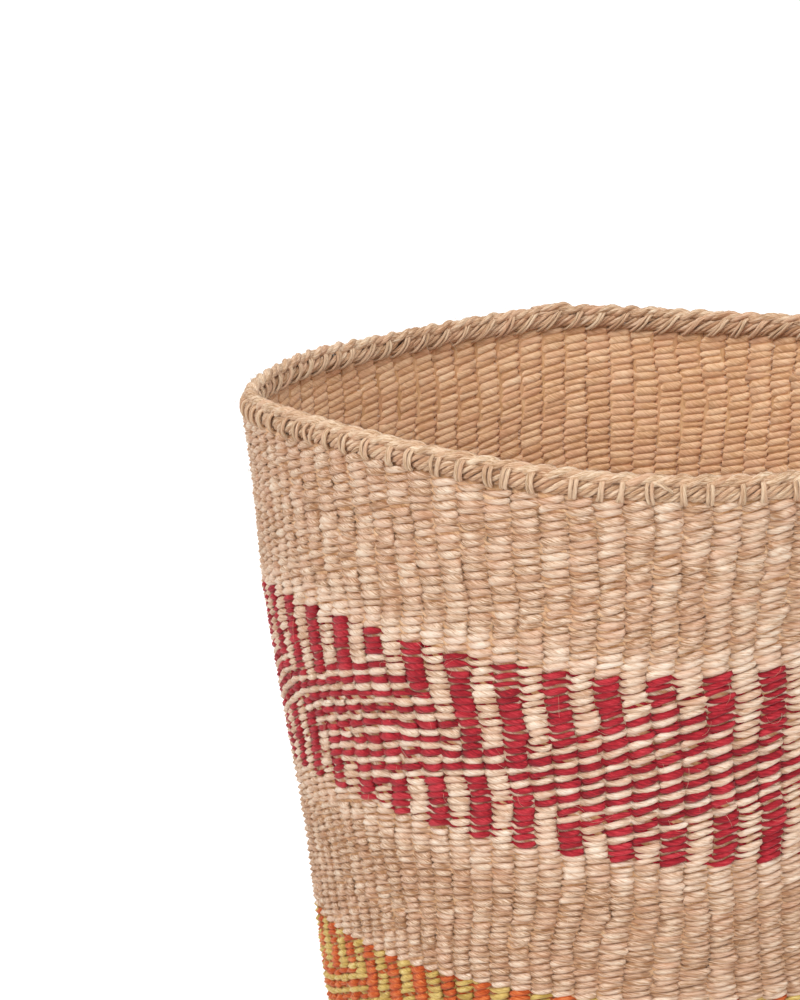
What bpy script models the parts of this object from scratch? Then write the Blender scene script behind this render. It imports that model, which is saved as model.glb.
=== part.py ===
"""A kiondo basket: a tapered sisal basket, twined on standing warps, with a lashed and corded rim.

The basket stands on the plane at height zero, its axis is the Z axis and its front faces -Y.
Twined weft passes in front of and behind every warp, so the wall and the base are built as an outer
layer of weft, the warps, and an inner layer of weft. Every length is in metres.
"""

import math

import bmesh
import bpy
from mathutils import Vector

# Counts: the columns of stitches, one for each warp, and the rows of twining in each band
COLUMN_COUNT = 96
LOWER_ROWS = 18
ORANGE_ROWS = 26
MIDDLE_ROWS = 22
RED_ROWS = 26
UPPER_ROWS = 23

# Driving sizes of the body
BASE_DIAMETER = 0.190
MOUTH_DIAMETER = 0.257
HEEL_RADIUS = 0.014
ROW_PITCH = 0.0022

# Driving sizes of the fibre
WEFT_THICKNESS = 0.0015
WARP_DIAMETER = 0.0016
WARP_LINK_HEIGHT = 0.0022
LASHING_THICKNESS = 0.0008
LASHING_WIDTH = 0.0022

# Driving sizes of the rim
ROLL_WIDTH = 0.0054
ROLL_HEIGHT = 0.0062
CREST_DIAMETER = 0.0040
CREST_JOIN_GAP = 0.0009
CREST_HUMP_RISE = 0.0013
CREST_HUMP_REACH = 0.016
SWAY_RISE = 0.0035

# Driving sizes of the base
KNOT_DIAMETER = 0.016
SECOND_WARP_START_DIAMETER = 0.056
THIRD_WARP_START_DIAMETER = 0.112

# Every piece keeps this gap to the pieces that it touches
CLEARANCE = 0.0003

# How far the solids are broken into flats
HEEL_SPANS = 2
WARP_SIDES = 3
KNOT_SEGMENTS = 12
KNOT_RINGS = 6
PLAIN_SIDES = COLUMN_COUNT // 2
CREST_STEPS = COLUMN_COUNT * 2
CREST_CORNERS = 5

# The rows sway up and down as handwork does, and more towards the rim: waves round the rim, where the
# first one starts, and the power of the height by which they grow
SWAY_WAVES = 3
SWAY_START = math.radians(307)
SWAY_GROWTH = 1.5
CREST_JOIN_TURN = math.radians(107)

# Shares of the rim's own sizes, chosen by hand
ROLL_FOOT_SHARE = 0.80
ROLL_BULGE_SHARE = 0.60

# How far the lashing has gone on towards the next warp at each corner of the roll
LASHING_ADVANCE_SHARES = (0.0, 0.0, 0.0, 0.45, 0.85)

# Heights of the wall, from the rows
LOWER_HEAD = LOWER_ROWS * ROW_PITCH
ORANGE_HEAD = LOWER_HEAD + ORANGE_ROWS * ROW_PITCH
MIDDLE_HEAD = ORANGE_HEAD + MIDDLE_ROWS * ROW_PITCH
RED_HEAD = MIDDLE_HEAD + RED_ROWS * ROW_PITCH
WALL_HEAD = RED_HEAD + UPPER_ROWS * ROW_PITCH

# The wall leans outward, and the heel's arc meets it without a kink
WALL_SLOPE = (MOUTH_DIAMETER - BASE_DIAMETER) / 2 / WALL_HEAD
WALL_LEAN = math.atan(WALL_SLOPE)
HEEL_CENTRE = BASE_DIAMETER / 2 + HEEL_RADIUS * (WALL_SLOPE - math.hypot(1, WALL_SLOPE))

# Depths below the outer skin at which the layers lie
WARP_DEPTH = WEFT_THICKNESS + CLEARANCE + WARP_DIAMETER / 2
INNER_DEPTH = WEFT_THICKNESS + WARP_DIAMETER + 2 * CLEARANCE
WALL_THICKNESS = INNER_DEPTH + WEFT_THICKNESS
OUTER_LAYER = (0, WEFT_THICKNESS)
INNER_LAYER = (INNER_DEPTH, WALL_THICKNESS)

# Places of the rim
RIM_RADIUS = (MOUTH_DIAMETER - WALL_THICKNESS) / 2
ROLL_FOOT = WALL_HEAD + LASHING_THICKNESS + 2 * CLEARANCE
ROLL_RIDGE_SLOPE = ROLL_HEIGHT * (1 - ROLL_BULGE_SHARE) / (ROLL_WIDTH / 2)
LASHING_RISE = (LASHING_THICKNESS + CLEARANCE) * math.hypot(1, ROLL_RIDGE_SLOPE)
CREST_FOOT = ROLL_FOOT + ROLL_HEIGHT + LASHING_RISE + CLEARANCE
CREST_HEIGHT = CREST_FOOT + CREST_DIAMETER / 2 * math.cos(math.pi / CREST_CORNERS)
RIM_TOP = CREST_HEIGHT + CREST_DIAMETER / 2


def clear_scene():
    """Remove every object that the file opened with."""
    for item in list(bpy.data.objects):
        bpy.data.objects.remove(item, do_unlink=True)


def linear_channel(level):
    """Turn one sRGB channel from 0 to 255 into linear light."""
    share = level / 255
    if share <= 0.04045:
        return share / 12.92
    return ((share + 0.055) / 1.055) ** 2.4


def fibre_material(name, red, green, blue, roughness):
    """Make a sisal finish from an sRGB colour."""
    material = bpy.data.materials.new(name)
    material.use_nodes = True
    colour = (linear_channel(red), linear_channel(green), linear_channel(blue), 1)
    shader = material.node_tree.nodes["Principled BSDF"]
    shader.inputs["Base Color"].default_value = colour
    shader.inputs["Roughness"].default_value = roughness
    shader.inputs["Metallic"].default_value = 0
    material.diffuse_color = colour
    return material


def natural_sisal():
    """Undyed sisal as twined into the wall."""
    return fibre_material("sisal_natural", 216, 182, 145, 0.82)


def shaded_sisal():
    """The browner sisal on the inside of the wall."""
    return fibre_material("sisal_inside", 198, 156, 114, 0.85)


def crimson_sisal():
    """Sisal dyed crimson."""
    return fibre_material("sisal_crimson", 188, 32, 56, 0.80)


def orange_sisal():
    """Sisal dyed orange."""
    return fibre_material("sisal_orange", 226, 120, 52, 0.80)


def pale_sisal():
    """The pale strands that lash the rim."""
    return fibre_material("sisal_pale", 226, 203, 172, 0.78)


def rim_sisal():
    """The greyer sisal of the rim."""
    return fibre_material("sisal_rim", 204, 173, 138, 0.85)


def warp_sisal():
    """The hard twisted sisal of the warps."""
    return fibre_material("sisal_warp", 190, 158, 118, 0.85)


def rim_sway(angle, height):
    """Return how far handwork lifts a point: nothing at the floor and most at the rim."""
    return SWAY_RISE * (height / RIM_TOP) ** SWAY_GROWTH * math.sin(SWAY_WAVES * (angle - SWAY_START))


def place(radius, angle, height):
    """Return the point at a radius, an angle from +X and a height, with the rim's sway."""
    lifted = height + rim_sway(angle, height)
    return Vector((radius * math.cos(angle), radius * math.sin(angle), lifted))


def column_angle(column):
    """Return the angle of the middle of a column of stitches."""
    return 2 * math.pi * (column + 0.5) / COLUMN_COUNT


def floor_point(radius, depth):
    """Return (radius, height) on the base at a depth above its under side."""
    return (radius, depth)


def heel_point(turn_share, depth):
    """Return (radius, height) on the rounded heel, from its floor end at 0 to its wall end at 1."""
    turn = -math.pi / 2 + turn_share * (math.pi / 2 - WALL_LEAN)
    reach = HEEL_RADIUS - depth
    return (HEEL_CENTRE + reach * math.cos(turn), HEEL_RADIUS + reach * math.sin(turn))


def wall_point(height, depth):
    """Return (radius, height) on the wall at a depth behind its outer skin."""
    return (BASE_DIAMETER / 2 + WALL_SLOPE * height - depth * math.hypot(1, WALL_SLOPE), height)


def above_heel(depth):
    """Return the wall's lowest point at a depth, a gap above the heel's wall end."""
    radius, height = heel_point(1, depth)
    return (radius + CLEARANCE * math.sin(WALL_LEAN), height + CLEARANCE * math.cos(WALL_LEAN))


def heel_line(depth, first_gap):
    """Return the heel's points from the floor to the wall, starting a gap past its floor end."""
    start = floor_point(HEEL_CENTRE + first_gap, depth)
    turns = [heel_point(span / HEEL_SPANS, depth) for span in range(1, HEEL_SPANS + 1)]
    return [start] + turns


def swollen(outline, distance):
    """Move every side of a convex outline outward by a distance and return its corners."""
    corners = []
    for index, corner in enumerate(outline):
        here = Vector(corner)
        arriving = (here - Vector(outline[index - 1])).normalized()
        leaving = (Vector(outline[(index + 1) % len(outline)]) - here).normalized()
        first_normal = Vector((arriving.y, -arriving.x))
        next_normal = Vector((leaving.y, -leaving.x))
        shift = (first_normal + next_normal) / (1 + first_normal.dot(next_normal))
        corners.append(tuple(here + shift * distance))
    return corners


def roll_outline():
    """Return the section of the roll, up its outer side first: flat below and ridged on top."""
    foot = ROLL_WIDTH / 2 * ROLL_FOOT_SHARE
    bulge_height = ROLL_FOOT + ROLL_HEIGHT * ROLL_BULGE_SHARE
    return [
        (RIM_RADIUS + foot, ROLL_FOOT),
        (RIM_RADIUS + ROLL_WIDTH / 2, bulge_height),
        (RIM_RADIUS, ROLL_FOOT + ROLL_HEIGHT),
        (RIM_RADIUS - ROLL_WIDTH / 2, bulge_height),
        (RIM_RADIUS - foot, ROLL_FOOT),
    ]


def join_rings(body, rings, closed, capped_end=True):
    """Skin a row of rings, listed along the tube and anticlockwise about it, and cap open ends."""
    corner_count = len(rings[0])
    span_count = len(rings) if closed else len(rings) - 1
    for span in range(span_count):
        here = rings[span]
        there = rings[(span + 1) % len(rings)]
        for corner in range(corner_count):
            after = (corner + 1) % corner_count
            body.faces.new((here[corner], here[after], there[after], there[corner]))
    if not closed:
        body.faces.new(rings[0][::-1])
    if not closed and capped_end:
        body.faces.new(rings[-1])


def finish(name, body, material):
    """Turn a bmesh into a named, smooth shaded object with its material."""
    bmesh.ops.recalc_face_normals(body, faces=body.faces)
    mesh = bpy.data.meshes.new(name)
    body.to_mesh(mesh)
    body.free()
    mesh.materials.append(material)
    mesh.shade_smooth()
    mesh.set_sharp_from_angle(angle=math.radians(35))
    item = bpy.data.objects.new(name, mesh)
    bpy.context.scene.collection.objects.link(item)
    return item


def turned(name, outline, sides, material):
    """Turn a closed outline about the axis, with the flats at the outline's own radius."""
    body = bmesh.new()
    corner_factor = 1 / math.cos(math.pi / sides)
    rings = []
    for radius, height in outline:
        wide = radius * corner_factor
        turns = [2 * math.pi * side / sides for side in range(sides)]
        rings.append([body.verts.new(place(wide, turn, height)) for turn in turns])
    join_rings(body, rings, closed=True)
    return finish(name, body, material)


def layer_of_weft(name, line, layer, sides, material):
    """Turn the strip between a layer's two depths along a line, a function from depth to points."""
    outer_depth, inner_depth = layer
    return turned(name, line(outer_depth) + line(inner_depth)[::-1], sides, material)


def base_weft(name, layer):
    """Twined rounds of the base in one layer, from the knot out to the heel."""

    def line(depth):
        """Return the round's points at a depth."""
        edge = HEEL_CENTRE * math.cos(math.pi / PLAIN_SIDES)
        return [floor_point(KNOT_DIAMETER / 2 + CLEARANCE, depth), floor_point(edge, depth)]

    return layer_of_weft(name, line, layer, PLAIN_SIDES, natural_sisal())


def start_knot():
    """The bound crossing of the first warps, which fills the eye of the base."""
    body = bmesh.new()
    bmesh.ops.create_uvsphere(body, u_segments=KNOT_SEGMENTS, v_segments=KNOT_RINGS, radius=1)
    half_width = KNOT_DIAMETER / 2
    half_height = WALL_THICKNESS / 2
    bmesh.ops.scale(body, vec=(half_width, half_width, half_height), verts=body.verts)
    bmesh.ops.translate(body, vec=(0, 0, half_height + CLEARANCE), verts=body.verts)
    return finish("base_start_knot", body, warp_sisal())


def heel_weft(name, layer, sides, material):
    """The rounds that turn from the base into the wall, in one layer."""

    def line(depth):
        """Return the heel's points at a depth."""
        return heel_line(depth, CLEARANCE)

    return layer_of_weft(name, line, layer, sides, material)


def foot_weft(name, head, layer, sides, material):
    """Rows of the wall in one layer, from just above the heel up to their own head."""

    def line(depth):
        """Return the rows' points at a depth."""
        return [above_heel(depth), wall_point(head, depth)]

    return layer_of_weft(name, line, layer, sides, material)


def wall_weft(name, foot, head, layer, sides, material):
    """Rows of the wall in one layer, from just above the rows below up to their own head."""

    def line(depth):
        """Return the rows' points at a depth."""
        return [wall_point(foot + CLEARANCE, depth), wall_point(head, depth)]

    return layer_of_weft(name, line, layer, sides, material)


def outer_weft():
    """The outer layer of the wall, in the bands that its dyes make."""
    heel_weft("weft_heel_outside", OUTER_LAYER, COLUMN_COUNT, natural_sisal())
    foot_weft("weft_lower_natural", LOWER_HEAD, OUTER_LAYER, COLUMN_COUNT, natural_sisal())
    bands = [
        ("weft_orange_yellow", LOWER_HEAD, ORANGE_HEAD, orange_sisal()),
        ("weft_middle_natural", ORANGE_HEAD, MIDDLE_HEAD, natural_sisal()),
        ("weft_red_cream", MIDDLE_HEAD, RED_HEAD, crimson_sisal()),
        ("weft_upper_natural", RED_HEAD, WALL_HEAD, natural_sisal()),
    ]
    for name, foot, head, material in bands:
        wall_weft(name, foot, head, OUTER_LAYER, COLUMN_COUNT, material)


def inner_weft():
    """The inner layer of the wall: the turn from the base, and all above it."""
    heel_weft("weft_heel_inside", INNER_LAYER, PLAIN_SIDES, shaded_sisal())
    foot_weft("weft_inside", WALL_HEAD, INNER_LAYER, PLAIN_SIDES, shaded_sisal())


def warp_line(start_radius, depth):
    """Return a warp's points at a depth: along the base, round the heel, up the wall and its link."""
    wall = [wall_point(WALL_HEAD - WARP_LINK_HEIGHT, depth), wall_point(WALL_HEAD, depth)]
    return [floor_point(start_radius, depth)] + heel_line(depth, 0) + wall


def warp_start_radius(column):
    """Return where a column's warp starts on the base: each increase doubles the warps."""
    if column % 4 == 0:
        return KNOT_DIAMETER / 2 + CLEARANCE
    if column % 4 == 2:
        return SECOND_WARP_START_DIAMETER / 2
    return THIRD_WARP_START_DIAMETER / 2


def warp_rings(body, column):
    """Return the rings of one warp: a thin rod of three sides, its first corner outermost."""
    corner_lines = []
    for corner in range(WARP_SIDES):
        turn = 2 * math.pi * corner / WARP_SIDES
        depth = WARP_DEPTH - WARP_DIAMETER / 2 * math.cos(turn)
        side = WARP_DIAMETER / 2 * math.sin(turn)
        points = warp_line(warp_start_radius(column), depth)
        angle = column_angle(column)
        corner_lines.append([body.verts.new(place(r, angle + side / r, z)) for r, z in points])
    return list(zip(*corner_lines))


def warps():
    """All the warps in one piece, because each one's end is turned over onto the next at the rim."""
    body = bmesh.new()
    all_rings = [warp_rings(body, column) for column in range(COLUMN_COUNT)]
    for column, rings in enumerate(all_rings):
        join_rings(body, rings[:-1], closed=False, capped_end=False)
        foot, head = rings[-2:]
        next_foot, next_head = all_rings[(column + 1) % COLUMN_COUNT][-2:]
        body.faces.new((foot[1], foot[2], head[2], head[1]))
        body.faces.new(head)
        body.faces.new((foot[0], next_foot[0], next_head[0], head[0]))
        body.faces.new((next_foot[2], foot[1], head[1], next_head[2]))
        body.faces.new((foot[1], next_foot[2], next_foot[0], foot[0]))
        body.faces.new((head[0], next_head[0], next_head[2], head[1]))
    return finish("warps", body, warp_sisal())


def lashing_rings(body):
    """Return the rings of the lashing: one turn round the roll for each warp, leaning inside."""
    near_path = swollen(roll_outline(), CLEARANCE)
    far_path = swollen(roll_outline(), CLEARANCE + LASHING_THICKNESS)
    rings = []
    for column in range(COLUMN_COUNT):
        for near, far, advance in zip(near_path, far_path, LASHING_ADVANCE_SHARES):
            angle = CREST_JOIN_TURN + 2 * math.pi * (column + advance) / COLUMN_COUNT
            half_turn = LASHING_WIDTH / 2 / near[0]
            ridge = body.verts.new(place(far[0], angle, far[1]))
            left = body.verts.new(place(near[0], angle + half_turn, near[1]))
            right = body.verts.new(place(near[0], angle - half_turn, near[1]))
            rings.append((ridge, left, right))
    return rings


def least_gap(rings, corners_each_turn):
    """Return the least distance between the points of neighbouring turns."""
    gap = math.inf
    for start, ring in enumerate(rings):
        for other in rings[start + corners_each_turn - 1:start + corners_each_turn + 2]:
            for first in ring:
                gap = min(gap, min((first.co - second.co).length for second in other))
    return gap


def rim_lashing():
    """The strand that binds the roll: it runs round it once for each warp, in one unbroken length."""
    body = bmesh.new()
    rings = lashing_rings(body)
    print("least gap between turns of the lashing:", round(least_gap(rings, len(roll_outline())), 5))
    join_rings(body, rings, closed=False)
    return finish("rim_lashing", body, pale_sisal())


def crest_rise(angle):
    """Return how far the crest is humped over the join of its two ends."""
    distance = abs(math.remainder(angle - CREST_JOIN_TURN, 2 * math.pi)) * RIM_RADIUS
    if distance >= CREST_HUMP_REACH:
        return 0
    return CREST_HUMP_RISE * (0.5 + 0.5 * math.cos(math.pi * distance / CREST_HUMP_REACH))


def crest_ring(body, angle, height):
    """Return one ring of the crest, a corner on top and a flat below."""
    ring = []
    for corner in range(CREST_CORNERS):
        turn = 2 * math.pi * corner / CREST_CORNERS + math.pi / 2
        radius = RIM_RADIUS - CREST_DIAMETER / 2 * math.cos(turn)
        ring.append(body.verts.new(place(radius, angle, height + CREST_DIAMETER / 2 * math.sin(turn))))
    return ring


def rim_crest():
    """The cord along the top of the rim: it rides over each lashing and dips to the roll between."""
    body = bmesh.new()
    gap_turn = CREST_JOIN_GAP / RIM_RADIUS
    rings = []
    for step in range(CREST_STEPS + 1):
        angle = CREST_JOIN_TURN + gap_turn / 2 + (2 * math.pi - gap_turn) * step / CREST_STEPS
        dip = LASHING_RISE * (step % 2)
        rings.append(crest_ring(body, angle, CREST_HEIGHT + crest_rise(angle) - dip))
    join_rings(body, rings, closed=False)
    return finish("rim_crest", body, rim_sisal())


def build():
    """Build the basket from the base up."""
    clear_scene()
    start_knot()
    base_weft("base_weft_under", OUTER_LAYER)
    base_weft("base_weft_over", INNER_LAYER)
    warps()
    outer_weft()
    inner_weft()
    turned("rim_roll", roll_outline(), COLUMN_COUNT, rim_sisal())
    rim_lashing()
    rim_crest()


build()
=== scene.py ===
"""Looks of a kiondo basket: twined sisal in natural, crimson and orange bands, with a lashed and corded rim.

Every row of the wall and of the base is made as the real one is: two strands that twist round every
warp, one in front while the other is behind. All lengths are in metres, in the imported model's frame.
"""

import logging
import math
from collections.abc import Sequence
from dataclasses import dataclass, field
from enum import Enum

import bpy
import numpy as np
from mathutils import Matrix, Vector


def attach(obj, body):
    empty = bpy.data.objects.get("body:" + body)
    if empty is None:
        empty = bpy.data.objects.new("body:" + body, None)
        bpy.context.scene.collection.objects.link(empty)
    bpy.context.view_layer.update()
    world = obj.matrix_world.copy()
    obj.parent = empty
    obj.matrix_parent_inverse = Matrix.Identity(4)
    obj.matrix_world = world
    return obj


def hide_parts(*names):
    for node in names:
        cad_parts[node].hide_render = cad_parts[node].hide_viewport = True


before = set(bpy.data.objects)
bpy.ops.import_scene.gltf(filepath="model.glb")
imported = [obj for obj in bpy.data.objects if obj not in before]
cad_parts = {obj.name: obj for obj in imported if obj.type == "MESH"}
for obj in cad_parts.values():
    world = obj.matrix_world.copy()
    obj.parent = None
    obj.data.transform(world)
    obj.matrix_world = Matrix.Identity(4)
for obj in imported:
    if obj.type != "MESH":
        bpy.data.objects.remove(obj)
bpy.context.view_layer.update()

LOG = logging.getLogger("kiondo")
MM = 0.001
TURN = 2 * math.pi
FRONT = math.radians(270)
UP = (0.0, 0.0, 1.0)
WHITE = (1, 1, 1, 1)
IDENTS = (0, 50)
SRGB_KNEE, SRGB_SLOPE, SRGB_OFFSET, SRGB_POWER = 0.04045, 12.92, 0.055, 2.4

Colour = tuple[float, float, float]
Array = np.ndarray
# A first seed, the number of waves and the size of their sum.
Waves = tuple[int, int, float]


def smooth_step(share: Array | float) -> Array | float:
    """Return an eased rise from 0 to 1 as share goes from 0 to 1."""
    held = np.clip(share, 0, 1)
    return held * held * (3 - 2 * held)


def sideways(angle: Array) -> Array:
    """Return the directions that run round the basket at angles from +X."""
    return np.stack([-np.sin(angle), np.cos(angle), 0 * angle], -1)


def linear(colour: Colour) -> tuple[float, float, float, float]:
    """Turn an sRGB colour of 0 to 255 into linear light with full alpha.

    Args:
        colour: Red, green and blue from 0 to 255.

    Returns:
        Four linear channels.
    """
    shares = [channel / 255 for channel in colour]
    curved = [((share + SRGB_OFFSET) / (1 + SRGB_OFFSET)) ** SRGB_POWER for share in shares]
    light = [share / SRGB_SLOPE if share <= SRGB_KNEE else high for share, high in zip(shares, curved)]
    return (*light, 1.0)


class Value:
    """A shader socket that takes part in ordinary number expressions."""

    def __init__(self, graph: "Graph", socket: bpy.types.NodeSocket) -> None:
        """Keep the graph that the socket belongs to, and the socket."""
        self.graph = graph
        self.socket = socket

    def __add__(self, other: "Value | float") -> "Value":
        """Return self + other."""
        return self.graph.maths("ADD", self, other)

    __radd__ = __add__

    def __sub__(self, other: "Value | float") -> "Value":
        """Return self - other."""
        return self.graph.maths("SUBTRACT", self, other)

    def __rsub__(self, other: float) -> "Value":
        """Return other - self."""
        return self.graph.maths("SUBTRACT", other, self)

    def __mul__(self, other: "Value | float") -> "Value":
        """Return self * other."""
        return self.graph.maths("MULTIPLY", self, other)

    __rmul__ = __mul__

    def __truediv__(self, other: "Value | float") -> "Value":
        """Return self / other."""
        return self.graph.maths("DIVIDE", self, other)

    def __rtruediv__(self, other: float) -> "Value":
        """Return other / self."""
        return self.graph.maths("DIVIDE", other, self)

    def __abs__(self) -> "Value":
        """Return the value without its sign."""
        return self.graph.maths("ABSOLUTE", self)

    def cosine(self) -> "Value":
        """Return the cosine of the value, in radians."""
        return self.graph.maths("COSINE", self)

    def sine(self) -> "Value":
        """Return the sine of the value, in radians."""
        return self.graph.maths("SINE", self)

    def held(self) -> "Value":
        """Return the value, kept from 0 to 1."""
        return self.graph.value("ShaderNodeClamp", {}, {"Value": self})


class Graph:
    """The nodes of one material or world."""

    def __init__(self, tree: bpy.types.NodeTree) -> None:
        """Empty the tree and keep it."""
        self.tree = tree
        tree.nodes.clear()

    def node(self, kind: str, settings: dict[str, object], inputs: dict[str | int, object]) -> bpy.types.Node:
        """Make one node.

        Args:
            kind: The node's type.
            settings: Its settings, set before its sockets; "stops" gives a ramp's places and colours.
            inputs: A number, a colour, a Value or a socket for each input, by name or place.

        Returns:
            The node.
        """
        made = self.tree.nodes.new(kind)
        for name, setting in settings.items():
            if name == "stops":
                self.set_stops(made.color_ramp, setting)
            else:
                setattr(made, name, setting)
        for key, given in inputs.items():
            if isinstance(given, Value):
                given = given.socket
            if isinstance(given, bpy.types.NodeSocket):
                self.tree.links.new(given, made.inputs[key])
            else:
                made.inputs[key].default_value = given
        return made

    @staticmethod
    def set_stops(ramp: bpy.types.ColorRamp, stops: Sequence[tuple[float, Colour]]) -> None:
        """Give a ramp its stops.

        Args:
            ramp: The ramp, with two stops or more.
            stops: The place and sRGB colour of each.
        """
        while len(ramp.elements) < len(stops):
            ramp.elements.new(0.5)
        for element, (place, colour) in zip(ramp.elements, stops):
            element.position = place
            element.color = linear(colour)

    def value(
        self, kind: str, settings: dict[str, object], inputs: dict[str | int, object], output: str | int = 0
    ) -> Value:
        """Make one node and return one of its outputs as a Value."""
        return Value(self, self.node(kind, settings, inputs).outputs[output])

    def maths(self, operation: str, *operands: "Value | float") -> Value:
        """Return the result of a Math node on values or numbers."""
        return self.value("ShaderNodeMath", {"operation": operation}, dict(enumerate(operands)))

    def tinted(self, colour: bpy.types.NodeSocket, tint: Colour, share: Value) -> bpy.types.NodeSocket:
        """Return a colour that is mixed with an sRGB tint by a share."""
        # Sockets 6 and 7 are the Mix node's two colours.
        mix = self.node("ShaderNodeMix", {"data_type": "RGBA"}, {0: share, 6: colour, 7: linear(tint)})
        return mix.outputs[2]

    def looked_at(self) -> Value:
        """Tell the rays that make the picture from those that only carry light.

        Returns:
            1 for camera, glossy and transmission rays and 0 for the others.
        """
        path = self.node("ShaderNodeLightPath", {}, {})
        seen = [Value(self, path.outputs[f"Is {kind} Ray"]) for kind in ("Camera", "Glossy", "Transmission")]
        return (seen[0] + seen[1] + seen[2]).held()


@dataclass(frozen=True)
class Finish:
    """Sisal in one dye: its colours, and how its two plies and its fibres show."""

    name: str
    deep: Colour
    base: Colour
    pale: Colour
    stops: tuple[float, float, float] = (0.08, 0.5, 0.92)
    roughness: float = 0.84
    shine: float = 0.3
    sheen: tuple[float, float] = (0.12, 0.5)
    ply_lay: float = 16.0 * MM
    blush: Colour = (214, 160, 128)
    blush_share: float = 0.45
    streak_share: float = 2.6
    patch_share: float = 0.22
    # Painted shade in the grooves between the two plies and painted highlight on their tops.
    painted_groove_shade: float = 0.10
    mean_ridge: float = 0.64
    ridge_bump: float = 0.16
    bump: float = 0.85
    bump_height: float = 0.3 * MM
    streak_rate: float = 190.0
    streak_reach: float = 2.2
    streak_scale: float = 1.6
    streak_detail: float = 4.0
    streak_roughness: float = 0.6
    lot_rate: float = 70.0
    lot_least: float = 0.42
    lot_gain: float = 3.2
    patch_rate: float = 52.0
    patch_detail: float = 3.0
    strand_shifts: tuple[float, float, float] = (3.7, 9.1, 5.3)

    def material(self) -> bpy.types.Material:
        """Build the finish.

        Returns:
            A material that reads the yarn and tone attributes of a tube mesh.
        """
        made = bpy.data.materials.new(self.name)
        made.use_nodes = True
        made.diffuse_color = linear(self.base)
        graph = Graph(made.node_tree)
        yarn = graph.node("ShaderNodeAttribute", {"attribute_name": "yarn"}, {})
        parts = graph.node("ShaderNodeSeparateXYZ", {}, {0: yarn.outputs["Vector"]})
        along, turns, ident = (Value(graph, parts.outputs[axis]) for axis in range(3))
        tone = graph.value("ShaderNodeAttribute", {"attribute_name": "tone"}, {}, "Fac")
        winding = (turns + along / self.ply_lay) * TURN
        ridge = abs(winding.cosine())
        streak = self.streaks(graph, along, winding, ident)
        shade = tone + (streak - 0.5) * self.streak_share + (self.patches(graph) - 0.5) * self.patch_share
        # Painted shade and highlight: the colour is darker in the grooves between the plies and lighter on the ply
        # tops.
        shade = (shade + (ridge - self.mean_ridge) * self.painted_groove_shade).held()
        stops = list(zip(self.stops, (self.deep, self.base, self.pale)))
        ramp = graph.node("ShaderNodeValToRGB", {"stops": stops}, {"Fac": shade})
        lot = self.lots(graph, along, ident)
        height = ridge * self.ridge_bump + streak * (1 - self.ridge_bump)
        relief = {"Strength": self.bump, "Distance": self.bump_height, "Height": height}
        sockets = {
            "Base Color": graph.tinted(ramp.outputs["Color"], self.blush, lot * self.blush_share),
            "Roughness": self.roughness,
            "Specular IOR Level": self.shine,
            "Sheen Weight": self.sheen[0],
            "Sheen Roughness": self.sheen[1],
            "Normal": graph.node("ShaderNodeBump", {}, relief).outputs["Normal"],
        }
        shader = graph.node("ShaderNodeBsdfPrincipled", {}, sockets)
        graph.node("ShaderNodeOutputMaterial", {}, {"Surface": shader.outputs["BSDF"]})
        return made

    def streaks(self, graph: Graph, along: Value, winding: Value, ident: Value) -> Value:
        """Return noise drawn out along the fibres, which turn with the plies.

        Args:
            graph: The material's nodes.
            along: The distance along the strand.
            winding: The angle round the strand, turning with the plies.
            ident: A number that differs from strand to strand.

        Returns:
            A value from 0 to 1.
        """
        inputs = {
            0: along * self.streak_rate + ident * self.strand_shifts[0],
            1: winding.cosine() * self.streak_reach,
            2: winding.sine() * self.streak_reach + ident * self.strand_shifts[1],
        }
        place = graph.node("ShaderNodeCombineXYZ", {}, inputs).outputs[0]
        noise = {"Scale": self.streak_scale, "Detail": self.streak_detail, "Roughness": self.streak_roughness}
        return graph.value("ShaderNodeTexNoise", {}, {"Vector": place, **noise})

    def lots(self, graph: Graph, along: Value, ident: Value) -> Value:
        """Return where the sisal of a strand is pinker, which changes every stitch or two.

        Args:
            graph: The material's nodes.
            along: The distance along the strand.
            ident: A number that differs from strand to strand.

        Returns:
            A value from 0 to 1.
        """
        inputs = {0: along * self.lot_rate, 1: ident * self.strand_shifts[2]}
        place = graph.node("ShaderNodeCombineXYZ", {}, inputs).outputs[0]
        lot = graph.value("ShaderNodeTexNoise", {}, {"Vector": place, "Scale": 1.0, "Detail": 1.0})
        return ((lot - self.lot_least) * self.lot_gain).held()

    def patches(self, graph: Graph) -> Value:
        """Return slow changes of tone over the basket, from lot to lot of sisal.

        Args:
            graph: The material's nodes.

        Returns:
            A value from 0 to 1.
        """
        noise = {"Scale": self.patch_rate, "Detail": self.patch_detail}
        place = graph.node("ShaderNodeTexCoord", {}, {}).outputs["Object"]
        return graph.value("ShaderNodeTexNoise", {}, {"Vector": place, **noise})


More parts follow.
